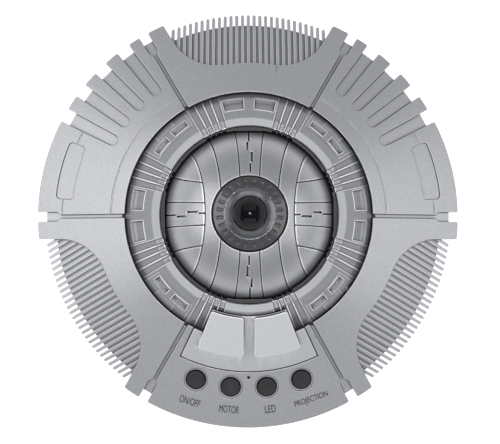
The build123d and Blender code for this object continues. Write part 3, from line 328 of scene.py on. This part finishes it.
# %% Metals
def drawn_metal(name, dark, light, roughness, size, stretch):
    """Metal with marks stretched along one axis; size and stretch are in millimetres."""
    material, shader, place = begin(name, Roughness=roughness, Metallic=1.0)
    longer = add(material, "ShaderNodeMapping", {"Vector": place, "Scale": (1.0, 1.0, size / stretch)})
    marks = add(material, "ShaderNodeTexNoise", {
        "Vector": longer.outputs["Vector"], "Scale": 1 / (size * MM), "Detail": 2.0, "Roughness": 0.6,
    }).outputs["Fac"]
    bump = add(material, "ShaderNodeBump", {"Height": marks, "Distance": 0.01 * MM, "Strength": 0.2})
    join(material, changing(material, marks, 0.35, 0.65, dark, light), shader, "Base Color")
    join(material, bump.outputs["Normal"], shader, "Normal")
    return material


# zinc coat: pale, slightly blue, with round spangles
zinc = drawn_metal("zinc plated steel", "#a9adb0", "#c3c6c9", 0.32, 0.8, 0.8)
# sintered bronze: warm, dull and porous
bronze = drawn_metal("sintered bronze", "#8a6a3c", "#a8834e", 0.45, 0.4, 0.4)
# plain aluminium: pale, with fine lines along the extrusion
aluminium = drawn_metal("extruded aluminium", "#b4b6b8", "#cfd1d3", 0.35, 0.25, 8.0)
print("metals:", zinc.name, bronze.name, aluminium.name)

# %% [markdown]
# Boards, lamps and glass. A circuit board is green solder mask with paler copper tracks under it. Lamp
# chips are yellow phosphor in white cups. Glass has a thin coating that tints its reflection. The star
# disc is a dark film with clear dots on glass; here the dots are a scatter of random cells.

# %% Boards and lamps
board, board_shader, board_place = begin("green solder mask on fibreglass", Roughness=0.35)
tracks = add(board, "ShaderNodeTexBrick", {
    "Vector": board_place, "Scale": 1 / (2.4 * MM), "Mortar Size": 0.06, "Bias": 0.0,
    "Color1": "#0f4a2c", "Color2": "#12552f", "Mortar": "#2b7a4b",
})
join(board, tracks.outputs["Color"], board_shader, "Base Color")
epoxy = moulded("black moulding epoxy", "#121213", "#1c1c1d", 0.3, 0.55)

phosphor, phosphor_shader, phosphor_place = begin("phosphor lamp in a white cup", Roughness=0.3)
cups = add(phosphor, "ShaderNodeTexVoronoi", {"Vector": phosphor_place, "Scale": 1 / (1.2 * MM)})
phosphor_colour = changing(phosphor, cups.outputs["Distance"], 0.2, 0.5, "#e9d26a", "#f3f1ea")
join(phosphor, phosphor_colour, phosphor_shader, "Base Color")
print("boards and lamps:", board.name, epoxy.name, phosphor.name)

# %% Glass and star film
glass, glass_shader, glass_place = begin(
    "coated optical glass", Roughness=0.02, IOR=1.52, Transmission_Weight=1.0,
    Coat_Weight=0.5, Coat_Roughness=0.02,
)
# its coating shades from bluish to pinkish over about 12 mm
coating = add(glass, "ShaderNodeTexNoise", {
    "Vector": glass_place, "Scale": 1 / (12.0 * MM), "Detail": 2.0, "Roughness": 0.6,
}).outputs["Fac"]
join(glass, changing(glass, coating, 0.35, 0.65, "#e9edf2", "#f3f0f6"), glass_shader, "Base Color")

# the front lens looks into a dark tube, so its body is painted near black, as painted shade of the tube,
# under a clear gloss
front_glass, front_shader, front_place = begin(
    "coated front glass", Roughness=0.08, IOR=1.52, Specular_IOR_Level=0.12,
)
painted_tube_shade = add(front_glass, "ShaderNodeTexNoise", {
    "Vector": front_place, "Scale": 1 / (5.0 * MM), "Detail": 2.0, "Roughness": 0.6,
}).outputs["Fac"]
join(front_glass, changing(front_glass, painted_tube_shade, 0.35, 0.65, "#050509", "#0a0a10"), front_shader, "Base Color")

film, film_shader, film_place = begin("star film on glass", Roughness=0.15)
dots = add(film, "ShaderNodeTexVoronoi", {"Vector": film_place, "Scale": 1 / (1.6 * MM)})
film_colour = changing(film, dots.outputs["Distance"], 0.1, 0.16, "#f2f2ea", "#0b0c12")
join(film, film_colour, film_shader, "Base Color")
print("glass:", glass.name, front_glass.name, film.name)

# %% [markdown]
# ## Floor
# A floor that only glows would lose the shadow, and one that is only lit would turn grey. This one is
# lit, and the camera and mirror-like rays see some glow added to it.


# %% White floor and world
def plain_floor():
    """Paper that takes a shadow and still looks white to the camera, to metal and to glass."""
    material = bpy.data.materials.new("white paper floor")
    material.use_nodes = True
    tree = material.node_tree
    tree.nodes.clear()
    path = add(material, "ShaderNodeLightPath", {})
    seen = add(material, "ShaderNodeMath", {
        0: path.outputs["Is Camera Ray"], 1: path.outputs["Is Glossy Ray"],
    }, operation="MAXIMUM")
    clear = add(material, "ShaderNodeMath", {
        0: seen.outputs["Value"], 1: path.outputs["Is Transmission Ray"],
    }, operation="MAXIMUM")
    glow = add(material, "ShaderNodeMath", {0: clear.outputs["Value"], 1: 0.78}, operation="MULTIPLY")
    lit = add(material, "ShaderNodeBsdfDiffuse", {"Color": "#d0d0d0"})
    white = add(material, "ShaderNodeEmission", {"Color": (1, 1, 1, 1), "Strength": glow.outputs["Value"]})
    both = add(material, "ShaderNodeAddShader", {0: lit.outputs[0], 1: white.outputs[0]})
    add(material, "ShaderNodeOutputMaterial", {"Surface": both.outputs[0]})
    return material


bpy.ops.object.select_all(action="DESELECT")
bpy.ops.mesh.primitive_plane_add(size=30.0, location=(0, 0, 0))
floor = bpy.context.object
floor.name = "floor"
floor.data.materials.append(plain_floor())

world = bpy.data.worlds.new("pale studio")
scene.world = world
world.use_nodes = True
world.node_tree.nodes.clear()
path = add(world, "ShaderNodeLightPath", {})
fill = add(world, "ShaderNodeBackground", {"Color": "#e8eaed", "Strength": 0.5})
backdrop = add(world, "ShaderNodeBackground", {"Color": (1, 1, 1, 1), "Strength": 1.0})
seen_by = {0: path.outputs["Is Camera Ray"], 1: fill.outputs[0], 2: backdrop.outputs[0]}
choice = add(world, "ShaderNodeMixShader", seen_by)
add(world, "ShaderNodeOutputWorld", {"Surface": choice.outputs[0]})
print("floor and world ready")

# %% [markdown]
# ## Helpers for pieces
# An operator acts on whatever is selected, so each helper starts by selecting one piece and nothing else.


# %% Opening and closing a piece
def only(piece):
    """Select one piece and make it the active one."""
    bpy.ops.object.select_all(action="DESELECT")
    piece.select_set(True)
    bpy.context.view_layer.objects.active = piece


def open_mesh(piece, kind="FACE"):
    """Enter edit mode on one piece, with nothing selected."""
    only(piece)
    bpy.ops.object.mode_set(mode="EDIT")
    bpy.ops.mesh.select_mode(type=kind)
    bpy.ops.mesh.select_all(action="DESELECT")


def choose_faces(piece, wanted):
    """Select the faces for which wanted(centre in mm, normal) is true."""
    bpy.ops.object.mode_set(mode="OBJECT")
    for face in piece.data.polygons:
        face.select = wanted(face.center / MM, face.normal)
    bpy.ops.object.mode_set(mode="EDIT")


def close_mesh():
    """Merge doubles, turn all faces outwards and leave edit mode."""
    bpy.ops.mesh.select_all(action="SELECT")
    bpy.ops.mesh.remove_doubles(threshold=0.002 * MM)
    bpy.ops.mesh.normals_make_consistent(inside=False)
    bpy.ops.object.mode_set(mode="OBJECT")


def apply_modifiers(piece):
    """Turn the result of a piece's modifiers into its mesh."""
    only(piece)
    for modifier in list(piece.modifiers):
        bpy.ops.object.modifier_apply(modifier=modifier.name)


print("pieces can be opened and closed")

# %% [markdown]
# ### Easing and finishing
# A Bevel modifier rounds only the edges that carry a weight, and only outward edges get one: an inner
# corner that was rounded would lose its thin shadow line. Then large faces decide the shading of the
# corners that they share, so that a flat panel stays even up to its edges. A finished piece says which
# body it rides on, and the CAD nodes that it stands for are hidden.

# %% Ease the edges, finish a piece
sharp_angle = radians(32.0)


def ease_edges(piece, width, segments):
    """Round a piece's sharp outward edges, by a width in millimetres."""
    shape = bmesh.new()
    shape.from_mesh(piece.data)
    weights = shape.edges.layers.float.new("bevel_weight_edge")
    for edge in shape.edges:
        outward = edge.is_manifold and edge.calc_face_angle_signed() > sharp_angle
        edge[weights] = 1.0 if outward else 0.0
    shape.to_mesh(piece.data)
    shape.free()
    bevel = piece.modifiers.new("eased edges", "BEVEL")
    bevel.width = width * MM
    bevel.segments = segments
    bevel.limit_method = "WEIGHT"
    bevel.use_clamp_overlap = False
    bevel.loop_slide = False
    apply_modifiers(piece)


def finish_piece(piece, material, slot, *replaced, body=None, smooth=32.0):
    """Shade a piece, give it its material, tie it to its body and hide the CAD nodes that it replaces. The
    slot is not used.
    """
    only(piece)
    bpy.ops.object.shade_smooth_by_angle(angle=radians(smooth))
    weighting = piece.modifiers.new("weighted normals", "WEIGHTED_NORMAL")
    weighting.keep_sharp = True
    weighting.weight = 80
    apply_modifiers(piece)
    piece.data.materials.clear()
    piece.data.materials.append(material)
    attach(piece, body or cad_nodes[replaced[0]]["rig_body"])
    if replaced:
        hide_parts(*replaced)
    print(piece.name, "faces", len(piece.data.polygons))


print("edges under", round(sharp_angle, 2), "rad stay as they are")

# %% [markdown]
# ## Mouldings with eased edges
# The panels, the collar and the ball already have their true shape in CAD, but CAD edges are knife-sharp
# and never catch light. A copy of each node is merged, its flat triangles are joined to whole faces, and a
# Bevel modifier rounds its outward edges. Inner corners stay sharp, so their shadow lines stay thin. That
# keeps every dimension and gives each edge its thin highlight.


# %% Copy a node and ease its edges
def moulding(node_name, width, material, slot, segments=2):
    """Finished copy of a CAD node with its edges rounded by a width in millimetres."""
    node = cad_nodes[node_name]
    piece = bpy.data.objects.new(node_name + "_moulding", node.data.copy())
    scene.collection.objects.link(piece)
    open_mesh(piece)
    bpy.ops.mesh.select_all(action="SELECT")
    bpy.ops.mesh.remove_doubles(threshold=0.002 * MM)
    # only triangles that lie in one plane are joined
    bpy.ops.mesh.dissolve_limited(angle_limit=radians(0.4))
    bpy.ops.object.mode_set(mode="OBJECT")
    ease_edges(piece, width, segments)
    finish_piece(piece, material, slot, node_name)
    return piece


print("mouldings can be copied")

# %% Deck panels, grilles, ramp and collar
for deck_panel in ("rear_arm_panel", "left_arm_panel", "right_arm_panel",
                   "left_finger_panel", "right_finger_panel", "control_panel"):
    moulding(deck_panel, 0.4, lacquer, "silver_shell")
ramp = moulding("front_ramp", 0.5, ramp_lit_lacquer, "silver_shell", segments=3)
moulding("deck_housing", 0.25, layer_lit_lacquer, "silver_shell")
collar = moulding("collar_ring", 0.12, collar_shaded_lacquer, "silver_shell")
for grille in ("rear_rib_grille", "left_rib_grille", "right_rib_grille"):
    moulding(grille, 0.3, grille_lacquer, "silver_grille")

# %% [markdown]
# The lip of the collar is painted brighter than the ribbed cone, as painted light on its level top. The
# well inside the lip is painted black, as painted shade, so that its notches look deep.

# %% Lip and well of the collar
lip_radius, lip_top, well_radius = 48.85, 79.5, 45.9
lip_skin, well_top = 0.3, lip_top - 0.6
collar.data.materials.append(lip_lit_lacquer)
collar.data.materials.append(black_abs)
for face in collar.data.polygons:
    centre = face.center / MM
    reach = hypot(centre.x, centre.y)
    # painted light: the level top faces of the lip get the lighter lacquer
    if face.normal.z > 0.7 and centre.z > lip_top - lip_skin and reach < lip_radius:
        face.material_index = 1
    # painted shade: the faces of the well turn black
    if reach < well_radius and centre.z < well_top:
        face.material_index = 2
print("lip faces:", sum(face.material_index == 1 for face in collar.data.polygons))

# %% [markdown]
# The two pads of the ramp stand proud, and they are painted lighter, as painted light. Their faces are
# found by their place: between the pads' ends and sides, and facing up.

# %% Pads of the ramp
pad_inner, pad_outer, pad_half_gap = 51.2, 72.3, 2.5
pad_spread = radians(21.7)
ramp.data.materials.append(pad_lit_lacquer)
for face in ramp.data.polygons:
    centre = face.center / MM
    aside = abs(atan2(centre.x, -centre.y))
    on_pad = pad_inner < hypot(centre.x, centre.y) < pad_outer and aside < pad_spread
    # painted light: the pads' upward faces get the lightest lacquer
    if on_pad and abs(centre.x) > pad_half_gap and face.normal.z > 0.15:
        face.material_index = 1
print("pad faces:", sum(face.material_index == 1 for face in ramp.data.polygons))

# %% Ball
for shell in ("ball_upper_shell", "ball_lower_shell", "left_side_cap", "right_side_cap"):
    moulding(shell, 0.2, ball_lacquer, "silver_shell")

# %% Base, trim and focus ring
moulding("base_pan", 0.35, grey_abs, "grey_base")
moulding("foot_ring", 0.3, rubber, "rubber_black")
moulding("trim_ring", 0.15, smoked, "smoked_trim")
moulding("focus_ring", 0.22, gloss_black, "black_gloss", segments=3)

# %% [markdown]
# ## Turned pieces
# The bezel and the lens barrel are round about the lens axis. A circle is pulled from ring to ring of the
# profile, as a turner works along a blank, and closes on itself at the end. Close rings near a corner
# round it.


# %% Turn a closed profile
def turned(name, profile, base):
    """Ring-shaped piece about the Z axis, from (radius, height above the base) corners in mm."""
    radius, height = profile[0]
    start = (0, 0, (base + height) * MM)
    bpy.ops.object.select_all(action="DESELECT")
    bpy.ops.mesh.primitive_circle_add(vertices=96, radius=radius * MM, location=start)
    piece = bpy.context.object
    piece.name = name
    bpy.ops.object.transform_apply(location=True, rotation=True, scale=True)
    open_mesh(piece, "EDGE")
    bpy.ops.mesh.select_all(action="SELECT")
    for next_radius, next_height in (*profile[1:], profile[0]):
        step = (0, 0, (next_height - height) * MM)
        bpy.ops.mesh.extrude_region_move(TRANSFORM_OT_translate={"value": step})
        share = next_radius / radius
        level = (0, 0, (base + next_height) * MM)
        bpy.ops.transform.resize(value=(share, share, 1), center_override=level)
        radius, height = next_radius, next_height
    close_mesh()
    return piece


print("profiles can be turned")

# %% [markdown]
# ### Bezel and lens barrel
# The bezel is a dished ring of dark metallic lacquer inside the fluted one. The barrel's face steps down
# to the glass in three black rings, which keep stray light out. Their heights are counted from the middle
# of the ball.

# %% Bezel and barrel
ball_height = 54.5
bezel = turned("focus_bezel_dish", [
    (8.2, 47.0), (12.4, 47.0), (12.4, 49.15), (12.33, 49.27), (12.2, 49.3), (11.9, 49.12), (11.4, 48.82),
    (10.8, 48.5), (10.1, 48.2), (9.4, 47.98), (8.8, 47.86), (8.3, 47.8), (8.2, 47.7),
], base=ball_height)
finish_piece(bezel, bezel_lacquer, "black_gloss", "focus_bezel", smooth=40)

barrel = turned("lens_barrel_turned", [
    (6.7, 26.0), (7.9, 26.0), (7.9, 50.55), (7.8, 50.85), (7.5, 51.0), (6.9, 51.0), (6.7, 50.9),
    (6.6, 50.55), (6.2, 50.5), (6.1, 50.25), (5.8, 50.2), (5.7, 49.95), (5.5, 49.9), (5.5, 49.6),
    (6.7, 49.6),
], base=ball_height)
finish_piece(barrel, black_abs, "black_plastic", "lens_barrel", smooth=30)

# %% [markdown]
# ### Front lens
# The glass is a disc with a domed face that looks out through the barrel's window. It starts as a sphere
# of the dome's own curvature. A bisect keeps only its top, and the rim is pulled down for the edge. Lens
# makers blacken that rim against stray light, so its faces get the black of the barrel.

# %% Front lens from a sphere
window_radius, crown = 5.4, 1.0
glass_radius, glass_edge, foot = 6.65, 1.5, 0.1
lens_seat = ball_height + 49.5
curve = (window_radius ** 2 + crown ** 2) / (2 * crown)
bpy.ops.object.select_all(action="DESELECT")
bpy.ops.mesh.primitive_uv_sphere_add(
    segments=64, ring_count=96, radius=curve * MM, location=(0, 0, (lens_seat + foot + crown - curve) * MM),
)
lens = bpy.context.object
lens.name = "front_lens_dome"
bpy.ops.object.transform_apply(location=True, rotation=True, scale=True)
open_mesh(lens)
bpy.ops.mesh.select_all(action="SELECT")
cut_height = (0, 0, (lens_seat + foot) * MM)
bpy.ops.mesh.bisect(plane_co=cut_height, plane_no=(0, 0, 1), clear_inner=True, use_fill=True)
choose_faces(lens, lambda centre, normal: normal.z < -0.9)
bpy.ops.mesh.extrude_region_move(TRANSFORM_OT_translate={"value": (0, 0, -foot * MM)})
wider = glass_radius / window_radius
bpy.ops.mesh.extrude_region_move(TRANSFORM_OT_translate={"value": (0, 0, 0)})
bpy.ops.transform.resize(value=(wider, wider, 1), center_override=(0, 0, lens_seat * MM))
bpy.ops.mesh.extrude_region_move(TRANSFORM_OT_translate={"value": (0, 0, -glass_edge * MM)})
close_mesh()
finish_piece(lens, front_glass, "clear_glass", "front_lens", smooth=30)

# %% Blackened rim of the lens
rim_share = 0.985
lens.data.materials.append(black_abs)
for face in lens.data.polygons:
    if hypot(face.center.x, face.center.y) > rim_share * window_radius * MM:
        face.material_index = 1
print("blackened rim faces:", sum(face.material_index == 1 for face in lens.data.polygons))

# %% [markdown]
# ## Push buttons
# Each key is a round cap on a flange with a stem that reaches its switch. A cylinder is cut to the slope
# of the deck with a bisect, its top is dished by an inset, its rim is bevelled, and its foot is extruded
# ring by ring. All four are the same mould, so one function makes them.

# %% Measures of the deck and its keys
rim_radius, rim_height, deck_slope = 110.0, 40.0, radians(26.3)
key_circle, key_radius, key_rise = 88.4, 4.7, 0.8
flange_radius, flange_depth, flange_thick = 6.0, 6.5, 1.0
stem_radius, tip_radius, tip_length = 2.2, 1.6, 1.8
key_angles = {"on_off": 252.1, "motor": 264.0, "led": 276.1, "projection": 288.0}


def deck_height(radius):
    """Height of the top of the deck, in mm."""
    return rim_height + (rim_radius - radius) * tan(deck_slope)


print("deck height at the keys:", round(deck_height(key_circle), 2), "mm")


# %% Make the keys
def push_key(name, angle):
    """Push button at an angle, with a dished top that follows the deck."""
    node = name + "_button"
    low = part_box(node)[0].z / MM
    flange_top = deck_height(key_circle + flange_radius) - flange_depth
    flange_foot = flange_top - flange_thick
    spoke = Vector((cos(radians(angle)), sin(radians(angle)), 0))
    middle = spoke * key_circle
    top = Vector((middle.x, middle.y, deck_height(key_circle) + key_rise))
    leaning = spoke * sin(deck_slope) + Vector((0, 0, cos(deck_slope)))
    bpy.ops.object.select_all(action="DESELECT")
    tall = 2 * (top.z - flange_top)
    bpy.ops.mesh.primitive_cylinder_add(
        vertices=64, radius=key_radius * MM, depth=tall * MM,
        location=(middle.x * MM, middle.y * MM, (flange_top + tall / 2) * MM),
    )
    key = bpy.context.object
    key.name = name + "_key"
    bpy.ops.object.transform_apply(location=True, rotation=True, scale=True)
    open_mesh(key)
    bpy.ops.mesh.select_all(action="SELECT")
    bpy.ops.mesh.bisect(plane_co=top * MM, plane_no=leaning, clear_outer=True, use_fill=True)
    choose_faces(key, lambda centre, normal: normal.dot(leaning) > 0.99)
    # the rim is rounded, and three insets sink the top to a shallow dish
    bpy.ops.mesh.bevel(offset=0.45 * MM, segments=4, profile=0.5, affect="EDGES")
    choose_faces(key, lambda centre, normal: normal.dot(leaning) > 0.999)
    bpy.ops.mesh.inset(thickness=0.5 * MM, depth=0)
    bpy.ops.mesh.inset(thickness=0.8 * MM, depth=-0.12 * MM)
    bpy.ops.mesh.inset(thickness=1.2 * MM, depth=-0.08 * MM)
    # from the foot: flange, stem, and the thin tip that presses the switch
    choose_faces(key, lambda centre, normal: normal.z < -0.9)
    radius, height = key_radius, flange_top
    for next_radius, next_height in (
        (flange_radius, flange_top), (flange_radius, flange_foot), (stem_radius, flange_foot),
        (stem_radius, low + tip_length), (tip_radius, low + tip_length), (tip_radius, low),
    ):
        step = (0, 0, (next_height - height) * MM)
        bpy.ops.mesh.extrude_region_move(TRANSFORM_OT_translate={"value": step})
        share = next_radius / radius
        level = (middle.x * MM, middle.y * MM, next_height * MM)
        bpy.ops.transform.resize(value=(share, share, 1), center_override=level)
        radius, height = next_radius, next_height
    close_mesh()
    finish_piece(key, button_abs, "button_grey", node, smooth=30)


for key_name, key_angle in key_angles.items():
    push_key(key_name, key_angle)

# %% [markdown]
# ## Printed labels
# The panel says what each key does, in thin grey print. Each word is made a mesh first. Then every point
# of it is laid on the cone of the deck, at its own height, so that the print never floats or sinks.

# %% Labels
label_circle, label_height, print_proud, print_sunk = 100.4, 4.0, 0.08, 0.1
# (word, width in mm, degrees that it stands to the right of its key)
labels = {
    "on_off": ("ON/OFF", 10.8, 0.3), "motor": ("MOTOR", 10.3, 0.3), "led": ("LED", 5.6, 0.4),
    "projection": ("PROJECTION", 18.0, 1.0),
}


def printed_label(name, word, width, angle):
    """Word of a width in mm, printed on the deck below its key."""
    bpy.ops.object.select_all(action="DESELECT")
    bpy.ops.object.text_add(location=(0, 0, 0))
    letters = bpy.context.object
    letters.name = name + "_label"
    letters.data.body = word
    letters.data.align_x = "CENTER"
    letters.data.extrude = 0.03     # any thickness will do, as every point gets its own height below
    bpy.ops.object.convert(target="MESH")
    points = letters.data.vertices
    low = Vector([min(p.co[axis] for p in points) for axis in range(3)])
    high = Vector([max(p.co[axis] for p in points) for axis in range(3)])
    size, middle = high - low, (high + low) / 2
    spoke = Vector((cos(radians(angle)), sin(radians(angle)), 0))
    across = Vector((-spoke.y, spoke.x, 0))
    for point in points:
        aside = (point.co.x - middle.x) / size.x * width
        inward = (point.co.y - middle.y) / size.y * label_height
        place = spoke * (label_circle - inward) + across * aside
        proud = print_proud if point.co.z > 0 else -print_sunk
        place.z = deck_height(hypot(place.x, place.y)) + proud
        point.co = place * MM
    open_mesh(letters)
    close_mesh()
    finish_piece(letters, ink, "black_plastic", body="base", smooth=20)


for label_name, (word, word_width, shift) in labels.items():
    printed_label(label_name, word, word_width, key_angles[label_name] + shift)

# %% [markdown]
# ## Finishes of the inner pieces
# What sits inside keeps its CAD mesh, which already has the right shape, and gets the finish of its real
# material: these show when the shell is opened or taken apart.

# %% Materials on the CAD nodes
inner_finishes = (
    (black_abs, ("left_pivot_bracket", "right_pivot_bracket", "optics_plate", "lens_sleeve",
                 "lens_retainer")),
    (acetal, ("disc_gear", "idler_gear", "motor_pinion")),
    (rubber, ("friction_washers",)),
    (glass, ("rear_lens", "condenser_lens")),
    (film, ("star_disc",)),
    (zinc, ("base_screws", "left_pivot_pin", "right_pivot_pin", "idler_axle", "motor", "disc_clamp",
            "power_socket")),
    (bronze, ("pivot_bushings",)),
    (aluminium, ("heat_sink",)),
    (board, ("lamp_board", "button_board", "main_board")),
    (epoxy, ("board_components", "tact_switches")),
    (phosphor, ("lamp_chips", "projection_led")),
    (front_glass, ("indicator_light",)),
)
for material, names in inner_finishes:
    for name in names:
        cad_nodes[name].data.materials.clear()
        cad_nodes[name].data.materials.append(material)
print("inner pieces finished:", sum(len(names) for material, names in inner_finishes))
